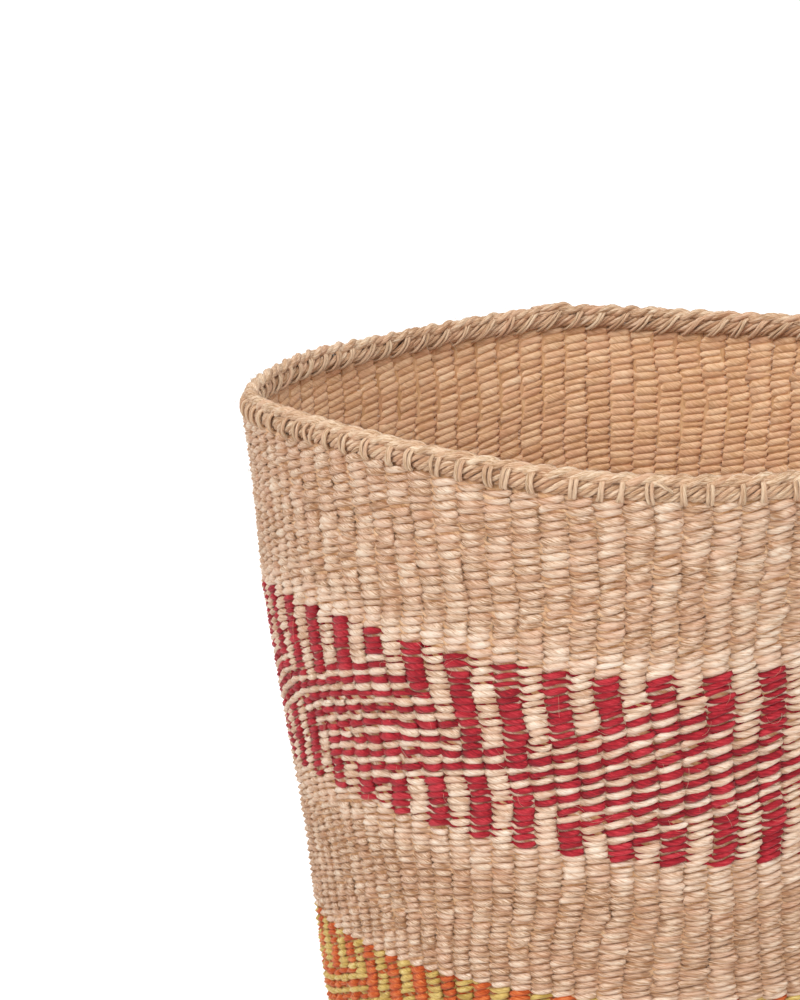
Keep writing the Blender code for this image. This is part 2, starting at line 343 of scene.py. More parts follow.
class Dye(Enum):
    """The sisal of the basket, by its dye or its use."""

    NATURAL = Finish("natural_yarn", (166, 120, 82), (224, 191, 162), (242, 223, 201))
    # Painted light: a paler, lower-contrast copy of the natural yarn for the inner face of the plain rows, which
    # makes the inside of the wall lighter than its own sisal.
    INNER = Finish("inner_yarn_painted_light", (207, 159, 115), (240, 201, 161), (252, 228, 196), streak_share=1.5, bump=0.4)
    CREAM = Finish("cream_yarn", (196, 156, 124), (239, 212, 187), (250, 234, 216))
    CRIMSON = Finish("crimson_yarn", (120, 8, 22), (176, 28, 42), (210, 64, 74), blush=(150, 14, 30))
    ORANGE = Finish("orange_yarn", (164, 62, 18), (212, 100, 42), (234, 146, 90), blush=(192, 74, 26))
    YELLOW = Finish("straw_yellow_yarn", (176, 142, 62), (222, 192, 112), (238, 218, 152), blush=(214, 178, 110))
    RIM = Finish("rim_yarn", (162, 120, 84), (211, 176, 142), (240, 218, 190), ply_lay=12.0 * MM)
    LASHING = Finish("lashing_yarn", (160, 120, 84), (213, 180, 146), (238, 214, 184), ply_lay=20.0 * MM)
    WARP = Finish(
        "warp_yarn", (166, 120, 78), (211, 165, 119), (232, 196, 154), streak_share=1.2, bump=0.3, ply_lay=60.0 * MM
    )
    HAIR = Finish("loose_fibre", (206, 172, 132), (236, 212, 178), (248, 234, 210), patch_share=0.2)


@dataclass(frozen=True)
class BasketForm:
    """The middle surface of the wall and base, with the lean of the warps and the sway of the rows."""

    columns: int = 96
    base_radius: float = 95.0 * MM
    mouth_radius: float = 128.5 * MM
    wall_head: float = 253.0 * MM
    wall_thickness: float = 5.2 * MM
    heel_radius: float = 14.0 * MM
    row_pitch: float = 2.2 * MM
    warp_starts: tuple[float, float, float] = (8.4 * MM, 28.0 * MM, 56.0 * MM)
    rim_radius: float = 125.9 * MM
    rim_top: float = 266.0 * MM
    sway_rise: float = 3.5 * MM
    sway_waves: int = 3
    sway_start: float = math.radians(307)
    sway_growth: float = 1.5
    lean_columns: float = 0.5
    lean_heights: tuple[float, float] = (203.0 * MM, 148.0 * MM)
    bunching_columns: float = 0.7
    bunching_heights: tuple[float, float] = (148.0 * MM, 95.0 * MM)
    bunching_start: float = FRONT - math.radians(65)
    bunching_waves: int = 4
    # Each lift: its angle and reach in degrees, its height and reach in mm, and the most that it lifts, in mm.
    lifts: tuple[tuple[float, float, float, float, float], ...] = (
        (154.0, 20.0, 266.0, 120.0, 3.8),
        (129.0, 11.0, 266.0, 120.0, 1.3),
        (106.0, 16.0, 266.0, 120.0, 3.2),
        (58.0, 20.0, 266.0, 120.0, 5.6),
        (209.0, 24.0, 175.0, 48.0, 3.6),
        (252.0, 16.0, 175.0, 48.0, -2.0),
        (286.0, 24.0, 141.0, 30.0, -3.4),
        (292.0, 20.0, 205.0, 24.0, 1.3),
    )
    # How much wider the left and right sides are than the front and back, in mm, at heights in mm.
    fullness_heights: tuple[float, ...] = (0.0, 72.0, 92.0, 118.0, 136.0, 165.0, 200.0, 235.0)
    fullness: tuple[float, ...] = (0.0, 1.9, 1.6, 1.2, 1.7, 3.0, 3.9, 2.3)

    @property
    def slope(self) -> float:
        """How far the wall leans out for each metre of height."""
        return (self.mouth_radius - self.base_radius) / self.wall_head

    @property
    def lean(self) -> float:
        """The wall's angle from upright."""
        return math.atan(self.slope)

    @property
    def heel_centre(self) -> float:
        """The radius at which the floor turns into the heel."""
        return self.base_radius + self.heel_radius * (self.slope - math.hypot(1, self.slope))

    @property
    def heel_reach(self) -> float:
        """The radius of the heel's arc at the middle of the wall."""
        return self.heel_radius - self.wall_thickness / 2

    @property
    def heel_length(self) -> float:
        """The length of the heel's arc at the middle of the wall."""
        return self.heel_reach * (math.pi / 2 - self.lean)

    @property
    def wall_foot(self) -> float:
        """The height at which the heel meets the wall."""
        return self.heel_radius - self.heel_reach * math.sin(self.lean)

    def wall_travel(self, height: float) -> float:
        """Return the travel of a height on the wall: the distance up its slope from the heel."""
        return (height - self.wall_foot) / math.cos(self.lean)

    def floor_travel(self, radius: float) -> float:
        """Return the travel of a radius on the floor, which is negative."""
        return -self.heel_length - (self.heel_centre - radius)

    def columns_each_warp(self, radius: Array | float) -> Array:
        """Return how many columns one warp stands for, as fewer warps have started near the knot."""
        return np.select([radius < self.warp_starts[1], radius < self.warp_starts[2]], [4, 2], 1)

    def section(self, travel: Array) -> tuple[Array, Array, Array]:
        """Return where the middle surface is, for each travel along it from the heel's wall end.

        Args:
            travel: Distances up the wall, or round the heel and in along the floor where negative.

        Returns:
            (radius, height), the outward normal and the direction of travel, each of shape (n, 2).
        """
        travel = np.atleast_1d(np.asarray(travel, float))
        turn = np.clip(-self.lean + travel / self.heel_reach, -math.pi / 2, -self.lean)
        on_wall = np.maximum(travel, 0)
        on_floor = np.maximum(-travel - self.heel_length, 0)
        normal = np.stack([np.cos(turn), np.sin(turn)], -1)
        along = np.stack([-np.sin(turn), np.cos(turn)], -1)
        place = np.array([self.heel_centre, self.heel_radius]) + self.heel_reach * normal
        place = place + (on_wall - on_floor)[:, None] * along
        return place, normal, along

    def column_angle(self, column: Array, height: Array) -> Array:
        """Return the angle of a place counted in columns, with the lean and bunching of the warps.

        Args:
            column: Places, where a whole number is the middle of a column.
            height: Their heights.

        Returns:
            Angles from +X.
        """
        angle = TURN * (column + 0.5) / self.columns
        high, low = self.lean_heights
        leaning = self.lean_columns * smooth_step((high - height) / (high - low))
        high, low = self.bunching_heights
        bunched = self.bunching_columns * smooth_step((high - height) / (high - low))
        waves = np.cos(self.bunching_waves * (angle - self.bunching_start))
        return angle + TURN / self.columns * (leaning + bunched * waves)

    def sway(self, angle: Array, height: Array) -> Array:
        """Return how far handwork lifts a point: nothing at the floor and most at the rim.

        Args:
            angle: The angle of each point from +X.
            height: Its height.

        Returns:
            The lift of each point.
        """
        share = np.maximum(height, 0) / self.rim_top
        rise = self.sway_rise * np.sin(self.sway_waves * (angle - self.sway_start))
        rise = share**self.sway_growth * rise
        for centre, reach, level, spread, most in self.lifts:
            away = (np.remainder(np.degrees(angle) - centre + 180, 360) - 180) / reach
            above = (height / MM - level) / spread
            rise = rise + most * MM * np.exp(-(away**2) - above**2)
        return rise

    def place(self, radius: Array | float, angle: Array, height: Array | float) -> Array:
        """Return points on or near the middle surface, with the sway and the fuller sides.

        Args:
            radius: The radius of each point.
            angle: Its angle from +X.
            height: Its height.

        Returns:
            Points of shape (n, 3).
        """
        fullness = np.interp(height / MM, self.fullness_heights, self.fullness) * MM
        fuller = radius + fullness * np.cos(angle) ** 2
        return np.stack([fuller * np.cos(angle), fuller * np.sin(angle), height + self.sway(angle, height)], -1)

    def turned(self, pair: Array, angle: Array) -> Array:
        """Turn (radial, upward) directions to an angle from +X."""
        return np.stack([pair[..., 0] * np.cos(angle), pair[..., 0] * np.sin(angle), pair[..., 1] + 0 * angle], -1)


class Handwork:
    """Smooth seeded unevenness over the basket: no row is level and no column is straight."""

    waves_around = (2, 13)
    shortest_wave = 18 * MM

    def __init__(self, seed: int, mode_count: int, size: float) -> None:
        """Choose the waves.

        Args:
            seed: The seed of the choice.
            mode_count: How many waves are added.
            size: The typical size of their sum.
        """
        random = np.random.default_rng(seed)
        self.around = random.integers(*self.waves_around, mode_count)
        self.upward = random.uniform(-1, 1, mode_count) * TURN / self.shortest_wave
        self.start = random.uniform(0, TURN, mode_count)
        self.size = size * math.sqrt(2 / mode_count)

    def at(self, angle: Array, travel: float = 0.0) -> Array:
        """Return the unevenness at angles.

        Args:
            angle: Angles from +X.
            travel: The travel along the middle surface.

        Returns:
            The unevenness at each angle.
        """
        total = np.zeros_like(angle)
        for around, upward, start in zip(self.around, self.upward, self.start):
            total += np.sin(around * angle + upward * travel + start)
        return total * self.size


def ring_points(
    centres: Array,
    first: Array | Sequence[float],
    second: Array | Sequence[float],
    half_first: Array | float,
    half_second: Array | float,
    sides: int,
) -> Array:
    """Return rings of points about a row of centres.

    Args:
        centres: The centres, of shape (n, 3).
        first: The first axis of the rings, one for all or one for each.
        second: Their second axis.
        half_first: Half the width along the first axis.
        half_second: Half the width along the second axis.
        sides: The number of points in a ring.

    Returns:
        Points of shape (n, sides, 3).
    """
    count = len(centres)
    angle = TURN * np.arange(sides) / sides
    wide = np.broadcast_to(half_first, (count,))[:, None] * np.cos(angle)
    tall = np.broadcast_to(half_second, (count,))[:, None] * np.sin(angle)
    first, second = (np.broadcast_to(axis, centres.shape)[:, None] for axis in (first, second))
    return centres[:, None] + wide[..., None] * first + tall[..., None] * second


@dataclass
class Strand:
    """One tube of yarn, ready to be joined into a mesh."""

    rings: Array
    closed: bool
    along: Array
    tone: Array
    dye: Array
    ident: float

    def faces_outward(self) -> bool:
        """Tell whether quads laid ring by ring face outward, from the signed volume that they hold.

        Returns:
            Whether the volume is above zero.
        """
        here = self.rings if self.closed else self.rings[:-1]
        there = np.roll(self.rings, -1, 0) if self.closed else self.rings[1:]
        middle = self.rings.mean((0, 1))
        first, second = here - middle, np.roll(here, -1, 1) - middle
        third, fourth = np.roll(there, -1, 1) - middle, there - middle
        volume = np.einsum("ijk,ijk", first, np.cross(second, third))
        return volume + np.einsum("ijk,ijk", first, np.cross(third, fourth)) > 0


@dataclass
class TubeMesh:
    """Many strands in one mesh, with their dyes, tones, yarn coordinates and a clean UV map."""

    name: str
    cells_across: int
    strands: list[Strand] = field(default_factory=list)
    side_margin: float = 0.04
    tube_start: float = 0.02
    tube_length: float = 0.96
    cap_middle: tuple[float, float] = (0.005, 0.5)
    cap_reach: tuple[float, float] = (0.004, 0.3)
    last_cap: float = 0.99

    def lay(
        self,
        rings: Array,
        along: Array,
        tone: Array | float,
        random: np.random.Generator,
        dye: Array | int = 0,
        closed: bool = False,
    ) -> None:
        """Add a strand.

        Args:
            rings: Its rings, of shape (n, sides, 3).
            along: The distance along it at each ring, with one more where a closed strand ends.
            tone: Its tone, from 0 for dark to 1 for light, one for all rings or one for each.
            random: The source of the number that tells it from the other strands.
            dye: The number of its dye, one for all spans or one for each.
            closed: Whether its last ring is joined to its first.
        """
        count = len(rings)
        dyes = np.full(count if closed else count - 1, dye)
        ident = random.uniform(*IDENTS)
        self.strands.append(Strand(rings, closed, along, tone + np.zeros(count), dyes, ident))

    def build(self, dyes: Sequence[Dye]) -> bpy.types.Object:
        """Join the strands.

        Args:
            dyes: The dyes that the strands' numbers stand for.

        Returns:
            The finished object, smooth shaded and in the scene.
        """
        parts: list[tuple[Array, ...]] = []
        start = 0
        for number, strand in enumerate(self.strands):
            parts.extend(self.skin(strand, start, number))
            start += strand.rings.shape[0] * strand.rings.shape[1]
        points = np.concatenate([strand.rings.reshape(-1, 3) for strand in self.strands])
        tone = np.concatenate([np.repeat(s.tone, s.rings.shape[1]) for s in self.strands])
        return self.mesh_object(points, tone, parts, dyes)

    def skin(self, strand: Strand, start: int, number: int) -> list[tuple[Array, ...]]:
        """Lay faces over one strand.

        Args:
            strand: The strand.
            start: The number of its first point in the whole mesh.
            number: Its place in the list of strands, which gives its cell of the UV map.

        Returns:
            Groups of (corner points, corner yarn, corner UV, face dye), one group for each face size.
        """
        grid = (self.cells_across, math.ceil(len(self.strands) / self.cells_across))
        cell = (number % self.cells_across, number // self.cells_across)
        count, sides = strand.rings.shape[:2]
        spans = count if strand.closed else count - 1
        span, side = np.meshgrid(np.arange(spans), np.arange(sides), indexing="ij")
        step = np.array([(0, 0), (0, 1), (1, 1), (1, 0)])
        if not strand.faces_outward():
            step = step[::-1]
        ring = span[..., None] + step[:, 0]
        corner = side[..., None] + step[:, 1]
        points = start + (ring % count) * sides + corner % sides
        yarn = np.stack([strand.along[ring], corner / sides, 0 * ring + strand.ident], -1)
        lowest, widest = (0.0, 1.0) if strand.closed else (self.tube_start, self.tube_length)
        across = self.side_margin + (1 - 2 * self.side_margin) * corner / sides
        share = np.stack([lowest + widest * ring / spans, across], -1)
        dye = np.repeat(strand.dye, sides)
        groups = [(points.reshape(-1, 4), yarn.reshape(-1, 4, 3), (share.reshape(-1, 4, 2) + cell) / grid, dye)]
        if strand.closed:
            return groups
        for end, low in ((0, 0.0), (count - 1, self.last_cap)):
            order = np.arange(sides) if (end > 0) == (step[1, 1] == 1) else np.arange(sides)[::-1]
            around = TURN * order / sides
            disc = np.array(self.cap_middle) + self.cap_reach * np.stack([np.cos(around), np.sin(around)], -1)
            cap = np.stack([0 * order + strand.along[end], order / sides, 0 * order + strand.ident], -1)
            place = (disc + (low, 0) + cell) / grid
            groups.append(((start + end * sides + order)[None], cap[None], place[None], strand.dye[:1]))
        return groups

    def mesh_object(
        self, points: Array, tone: Array, parts: list[tuple[Array, ...]], dyes: Sequence[Dye]
    ) -> bpy.types.Object:
        """Make the mesh and its object from joined arrays.

        Args:
            points: Every point.
            tone: The tone of every point.
            parts: Groups of faces from skin.
            dyes: The dyes that the faces' numbers stand for.

        Returns:
            The object.
        """
        corners, yarn, spread = (np.concatenate([group[i].ravel() for group in parts]) for i in range(3))
        sizes = np.concatenate([np.full(len(group[0]), group[0].shape[1]) for group in parts])
        mesh = bpy.data.meshes.new(self.name)
        mesh.vertices.add(len(points))
        mesh.loops.add(len(corners))
        mesh.polygons.add(len(sizes))
        mesh.vertices.foreach_set("co", points.astype(np.float32).ravel())
        mesh.loops.foreach_set("vertex_index", corners.astype(np.int32))
        mesh.polygons.foreach_set("loop_start", np.concatenate([[0], np.cumsum(sizes)[:-1]]).astype(np.int32))
        mesh.polygons.foreach_set("material_index", np.concatenate([group[3] for group in parts]).astype(np.int32))
        mesh.update(calc_edges=True)
        mesh.validate()
        mesh.attributes.new("yarn", "FLOAT_VECTOR", "CORNER").data.foreach_set("vector", yarn.astype(np.float32))
        mesh.attributes.new("tone", "FLOAT", "POINT").data.foreach_set("value", tone.astype(np.float32))
        mesh.uv_layers.new(name="OFBake").data.foreach_set("uv", spread.astype(np.float32))
        mesh.shade_smooth()
        for dye in dyes:
            mesh.materials.append(bpy.data.materials.get(dye.value.name) or dye.value.material())
        item = bpy.data.objects.new(self.name, mesh)
        bpy.context.scene.collection.objects.link(item)
        return item


@dataclass
class Piece:
    """A sub-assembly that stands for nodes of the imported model."""

    name: str
    nodes: tuple[str, ...]
    slot: str
    form: BasketForm
    dyes: tuple[Dye, ...]
    cells_across: int = 1
    seed: int = 0

    def lay_strands(self, tubes: TubeMesh) -> None:
        """Lay the piece's strands; each kind of piece has its own way."""
        raise NotImplementedError

    def build(self) -> bpy.types.Object:
        """Build the mesh, dress it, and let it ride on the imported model.

        Returns:
            The piece's object.
        """
        tubes = TubeMesh(self.name, self.cells_across)
        self.lay_strands(tubes)
        item = tubes.build(self.dyes)
        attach(item, "root")
        if self.nodes:
            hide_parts(*self.nodes)
        return item


@dataclass(frozen=True)
class StepChart:
    """The pattern of a coloured band: upright stripes, with fields of slanted stripes between them.

    above and below hold, in rows, how far the upright stripes reach in from the band's edge at the tip of
    a field, and how much further with each column to the left and to the right of it.
    """

    rows: int
    apex_column: int
    repeat: int = 12
    above: tuple[float, float, float] = (3.4, 1.35, 1.55)
    below: tuple[float, float, float] = (1.5, 1.55, 1.25)
    longer: tuple[tuple[int, float], ...] = ()

    def dyed(self, columns: int) -> Array:
        """Return where the band's dye shows in front, row by row from the bottom.

        Args:
            columns: The number of columns round the basket.

        Returns:
            Booleans of shape (rows, columns).
        """
        row, column = np.meshgrid(np.arange(self.rows), np.arange(columns), indexing="ij")
        half = self.repeat // 2
        away = (column - self.apex_column + half) % self.repeat - half
        foot = (away + 2 + half - 1) % self.repeat - (half - 1)
        least, left, right = self.above
        upright_above = least + np.where(away <= 0, -left * away, right * away)
        for place, more in self.longer:
            upright_above[:, place] += more
        least, left, right = self.below
        upright_below = least + np.where(foot >= 0, right * foot, -left * foot)
        upright = (self.rows - 1 - row < upright_above) | (row < upright_below)
        return np.where(upright, away % 2 == 0, (away - row) % 2 == 0)


@dataclass(frozen=True)
class Twining:
    """How two strands are twisted round the warps.

    front and back hold the rings of a stitch in front of a warp and of one behind it: the angle of each
    within the stitch, in degrees, and its thickness and height as shares.
    """

    reach: float = 0.98 * MM
    dive: float = 0.42
    half_out: float = 1.38 * MM
    half_along: float = 0.535
    slant: float = 0.36
    slant_jitter: float = 0.03
    overlap: float = 0.125
    back_overlap: float = 0.09
    overlap_jitter: float = 0.075
    front: tuple[tuple[float, float, float], ...] = (
        (-90.0, 0.54, 0.52),
        (-62.0, 0.80, 0.76),
        (-22.0, 1.0, 1.0),
        (22.0, 1.0, 1.0),
        (62.0, 0.80, 0.76),
    )
    back: tuple[tuple[float, float, float], ...] = ((-90.0, 0.60, 0.62), (-54.0, 0.84, 1.30), (54.0, 0.84, 1.30))
    back_reach: float = 0.45
    base_tone: float = 0.5
    pair_tone: float = 0.045
    # Painted shade: rings thinner than a stitch's full thickness are made darker, at the ends of a front stitch where
    # it dives between the warps and along the stitches behind.
    painted_end_shade: float = -0.17
    inner_contrast: float = 0.05
    tone_jitter: float = 0.08
    row_tone_jitter: float = 0.035
    sides: int = 5
    row_size_jitter: float = 0.03
    size_jitter: float = 0.13
    along_jitter: float = 0.09 * MM
    place_jitter: float = 0.13
    out_jitter: float = 0.04 * MM
    wound_share: float = 1.15
    level: Handwork = Handwork(11, 14, 0.30 * MM)
    drift: Handwork = Handwork(23, 12, 0.08)

    def row(
        self,
        tubes: TubeMesh,
        form: BasketForm,
        travel: float,
        pitch: float,
        seed: int,
        front: Array,
        back: Array,
    ) -> None:
        """Twine one row of two strands.

        Args:
            tubes: The mesh that takes them.
            form: The surface that the row lies on.
            travel: Where the row is along the surface.
            pitch: The distance from one row to the next.
            seed: The seed of the row's own unevenness.
            front: The dye of each stitch's front strand.
            back: The dye of the strand behind it.
        """
        random = np.random.default_rng(seed)
        count = len(front)
        step = form.columns // count
        row_tone = self.base_tone + random.normal(0, self.row_tone_jitter)
        row_size = 1 + random.normal(0, self.row_size_jitter)
        for number in range(2):
            halves = [self.back if (place + number) % 2 else self.front for place in range(count)]
            stitch = np.repeat(np.arange(count), [len(half) for half in halves])
            degrees, thick, tall = np.concatenate(halves).T
            offset = np.radians(degrees)
            shown = (stitch + number) % 2 == 0
            size = row_size * (1 + random.normal(0, self.size_jitter, count)[stitch])
            nudge = random.normal(0, self.along_jitter, count)[stitch]
            shove = random.normal(0, self.place_jitter, count)[stitch]
            overlap = np.where(shown, self.overlap, self.back_overlap)
            overlap = overlap + random.normal(0, self.overlap_jitter, count)[stitch]
            slant = random.normal(self.slant, self.slant_jitter, count)[stitch]
            column = step * (stitch + offset / math.pi * (1 + overlap) + shove * np.cos(offset))
            plain_angle = TURN * (column + 0.5) / form.columns
            column = column + self.drift.at(plain_angle, travel)
            wave = np.where(shown, np.sin(offset), -np.sin(offset) ** 3)
            lift = self.level.at(plain_angle, travel) + nudge + slant * pitch * wave
            place, normal, along = form.section(travel + lift)
            angle = form.column_angle(column, place[:, 1])
            out = np.where(shown, self.reach, -self.reach * self.back_reach) * np.cos(offset) ** self.dive
            out += random.normal(0, self.out_jitter, count)[stitch]
            around = form.turned(normal, angle)
            centres = form.place(place[:, 0], angle, place[:, 1]) + out[:, None] * around
            half_out = self.half_out * thick * size**0.5
            half_along = self.half_along * pitch * tall * size
            rings = ring_points(centres, around, form.turned(along, angle), half_out, half_along, self.sides)
            stitch_length = self.wound_share * TURN * place[0, 0] / count
            distance = stitch_length * (stitch + offset / math.pi)
            distance = np.append(distance, distance[0] + stitch_length * count)
            tone = row_tone + self.pair_tone * (1 - 2 * number)
            # The thinner rings get painted shade, darker where the stitch dives between the warps and behind them.
            tone = tone + random.normal(0, self.tone_jitter, count)[stitch] + self.painted_end_shade * (thick < 1)
            tone = tone + np.where(shown, 0.0, self.inner_contrast * (number - 0.5))
            dye = np.where(shown, front[stitch], back[stitch])
            tubes.lay(rings, distance, tone, random, dye, closed=True)


@dataclass
class WeftBand(Piece):
    """Rows of the wall that make one band, either patterned by a chart or plain with some pale rows.

    A patterned band's dyes are its ground and its figure, and a plain one's are the dye of its rows, that of
    its pale rows and, for its inner face, a paler copy of the natural yarn that paints light there.
    """

    foot: float = 0.0
    head: float = 0.0
    row_count: int = 0
    chart: StepChart | None = None
    pale_rows: tuple[int, ...] = ()
    seeds_each_mm: int = 10
    twining: Twining = Twining()

    def lay_strands(self, tubes: TubeMesh) -> None:
        """Twine the rows.

        Args:
            tubes: The mesh that takes them.
        """
        columns = self.form.columns
        pitch = (self.head - self.foot) / self.row_count
        for number in range(self.row_count):
            height = self.foot + (number + 0.5) * pitch
            if self.chart:
                front = self.chart.dyed(columns)[number].astype(int)
                back = 1 - front
            else:
                front = np.full(columns, int(number in self.pale_rows))
                back = np.full(columns, 2)
            travel = self.form.wall_travel(height)
            seed = int(height / MM * self.seeds_each_mm)
            self.twining.row(tubes, self.form, travel, pitch, seed, front, back)


@dataclass
class BaseWeft(Piece):
    """Rounds of the heel or of the floor, with fewer stitches where fewer warps have started."""

    travels: tuple[float, ...] = ()
    first_seed: int = 4000
    seeds_each_mm: int = 50
    twining: Twining = Twining()

    def lay_strands(self, tubes: TubeMesh) -> None:
        """Twine the rounds.

        Args:
            tubes: The mesh that takes them.
        """
        for number, travel in enumerate(self.travels):
            radius = self.form.section(travel)[0][0, 0]
            plain = np.zeros(self.form.columns // int(self.form.columns_each_warp(radius)), int)
            seed = self.first_seed + number + int(radius / MM) * self.seeds_each_mm
            self.twining.row(tubes, self.form, travel, self.form.row_pitch, seed, plain, plain)


@dataclass
class Warps(Piece):
    """The cords that stand between the two faces of the weft, from the knot to the rim."""

    cells_across: int = 2
    seed: int = 7
    half: float = 0.78 * MM
    inward: float = 0.20 * MM
    half_share: float = 0.58
    spacing: float = 4.0 * MM
    start_order: tuple[int, ...] = (0, 2, 1, 2)
    head_rise: float = 4 * MM
    tone_jitter: float = 0.08
    sides: int = 5

    def lay_strands(self, tubes: TubeMesh) -> None:
        """Lay every warp, spread wider on the floor where fewer of them have started.

        Args:
            tubes: The mesh that takes them.
        """
        random = np.random.default_rng(self.seed)
        head = self.form.wall_travel(self.form.wall_head + self.head_rise)
        for column in range(self.form.columns):
            order = self.start_order[column % len(self.start_order)]
            foot = self.form.floor_travel(self.form.warp_starts[order])
            travel = np.linspace(foot, head, int((head - foot) / self.spacing) + 1)
            place, normal, _ = self.form.section(travel)
            radius, height = place.T
            angle = self.form.column_angle(np.full(len(travel), float(column)), height)
            outward = self.form.turned(normal, angle)
            centres = self.form.place(radius, angle, height) - self.inward * outward
            half_across = self.form.columns_each_warp(radius) * self.half_share * TURN * radius / self.form.columns
            rings = ring_points(centres, outward, sideways(angle), self.half, half_across, self.sides)
            tubes.lay(rings, travel, 0.5 + random.normal(0, self.tone_jitter), random)


@dataclass
class StartKnot(Piece):
    """The crossing of the first warps at the middle of the base, bound by tight rounds."""

    cells_across: int = 2
    seed: int = 17
    cord_half: float = 1.05 * MM
    cord_count: int = 5
    cord_pitch: float = 2.15 * MM
    cord_rings: int = 7
    cord_sides: int = 8
    cord_tone_jitter: float = 0.08
    layer_heights: tuple[float, float] = (1.55 * MM, 3.65 * MM)
    reach: float = 7.6 * MM
    bound_radius: float = 7.3 * MM
    bound_half: float = 0.62 * MM
    bound_twist: float = 0.5 * MM
    bound_turns: int = 12
    bound_rings: int = 96
    bound_sides: int = 6
    bound_tone: float = 0.52
    bound_tone_jitter: float = 0.06

    def lay_strands(self, tubes: TubeMesh) -> None:
        """Cross the cords and bind them.

        Args:
            tubes: The mesh that takes them.
        """
        random = np.random.default_rng(self.seed)
        for layer, height in enumerate(self.layer_heights):
            for number in range(self.cord_count):
                self.lay_cord(tubes, layer, height, number, random)
        for layer, height in enumerate(self.layer_heights):
            for number in range(2):
                self.wind_binding(tubes, height + (layer - 0.5) * self.bound_twist, number, random)

    def lay_cord(self, tubes: TubeMesh, layer: int, height: float, number: int, random: np.random.Generator) -> None:
        """Lay one straight cord of the crossing.

        Args:
            tubes: The mesh that takes it.
            layer: 0 for the lower cords and 1 for the upper ones, which cross them.
            height: The height of the cord's middle.
            number: Which cord of the layer it is.
            random: The source of its tone.
        """
        aside = (number - (self.cord_count - 1) / 2) * self.cord_pitch
        half_length = math.sqrt(self.reach**2 - aside**2)
        along = np.linspace(-half_length, half_length, self.cord_rings)
        across = aside + 0 * along
        pair = (along, across) if layer == 0 else (across, along)
        side = (0.0, 1.0, 0.0) if layer == 0 else (1.0, 0.0, 0.0)
        centres = np.stack([*pair, height + 0 * along], -1)
        rings = ring_points(centres, UP, side, self.cord_half, self.cord_half, self.cord_sides)
        tubes.lay(rings, along, 0.5 + random.normal(0, self.cord_tone_jitter), random)

    def wind_binding(self, tubes: TubeMesh, height: float, number: int, random: np.random.Generator) -> None:
        """Wind one of the two twisted strands of a binding round.

        Args:
            tubes: The mesh that takes it.
            height: The height of the round.
            number: Which strand of the round it is.
            random: The source of its tone.
        """
        angle = TURN * (np.arange(self.bound_rings) / self.bound_rings)
        twist = self.bound_turns * angle + math.pi * number
        outward = np.stack([np.cos(angle), np.sin(angle), 0 * angle], -1)
        radius = self.bound_radius + self.bound_twist * np.cos(twist)
        climb = height + self.bound_twist * np.sin(twist)
        centres = np.stack([radius * np.cos(angle), radius * np.sin(angle), climb], -1)
        rings = ring_points(centres, outward, UP, self.bound_half, self.bound_half, self.bound_sides)
        length = np.linspace(0, TURN * self.bound_radius, self.bound_rings + 1)
        tone = self.bound_tone + random.normal(0, self.bound_tone_jitter)
        tubes.lay(rings, length, tone, random, dye=1, closed=True)


@dataclass
class RimPiece(Piece):
    """What the pieces of the rim share: the places of the lashings and of the join."""

    join_turn: float = math.radians(107)
    roll_height: float = 258.8 * MM
    sides: int = 6
    lashing_lag: float = -0.53
    lashing_jitter: float = 0.13
    most_shift: float = 0.3
    shift_seed: int = 31
    front_lashing: int = 41
    front_shifts: tuple[float, ...] = (0.20, 0.16, -0.15, -0.07, 0.04, -0.08, 0.04, -0.19, 0.0)
    pinch_reach: float = 0.22

    @property
    def pitch(self) -> float:
        """The angle from one lashing to the next."""
        return TURN / self.form.columns

    def lashing_shift(self) -> Array:
        """Say how far each lashing is off its even place.

        Returns:
            The shifts in lashings, the last of which equals the first.
        """
        random = np.random.default_rng(self.shift_seed)
        shift = random.normal(0, self.lashing_jitter, self.form.columns).clip(-self.most_shift, self.most_shift)
        shift[self.front_lashing : self.front_lashing + len(self.front_shifts)] = self.front_shifts
        return np.append(shift, shift[0]) + self.lashing_lag

    def pinch(self, angle: Array) -> Array:
        """Say how hard the lashings bind the roll.

        Args:
            angle: Angles from +X.

        Returns:
            1 where a lashing binds the roll and 0 midway between two.
        """
        place = (angle - self.join_turn) / self.pitch - self.lashing_lag
        shift = self.lashing_shift()[:-1] - self.lashing_lag
        nearest = np.round(place).astype(int) % self.form.columns
        away = place - np.round(place) - shift[nearest]
        return np.exp(-((away / self.pinch_reach) ** 2))

    @staticmethod
    def uneven(waves: Waves, number: int, angle: Array) -> Array:
        """Return the unevenness of one strand at angles, from the waves and the strand's number."""
        seed, mode_count, size = waves
        return Handwork(seed + number, mode_count, size).at(angle)

    def rings(
        self,
        offsets: tuple[Array, Array],
        angle: Array,
        spin: Array,
        halves: tuple[Array | float, Array | float],
        across: Array | Sequence[float] | None = None,
    ) -> Array:
        """Return the rings of a strand that winds about the middle of the roll.

        Args:
            offsets: How far out and how far up from the roll's middle the strand is.
            angle: Its angle from +X.
            spin: The direction of the rings' first axis, as an angle from outward.
            halves: Half the strand's width along the first and the second axis.
            across: The second axis, if it isn't square to the first and upright.

        Returns:
            Points of shape (n, sides, 3).
        """
        centres = self.form.place(self.form.rim_radius + offsets[0], angle, self.roll_height + offsets[1])
        outward = self.form.turned(np.stack([np.cos(spin), np.sin(spin)], -1), angle)
        if across is None:
            across = self.form.turned(np.stack([-np.sin(spin), np.cos(spin)], -1), angle)
        return ring_points(centres, outward, across, *halves, self.sides)


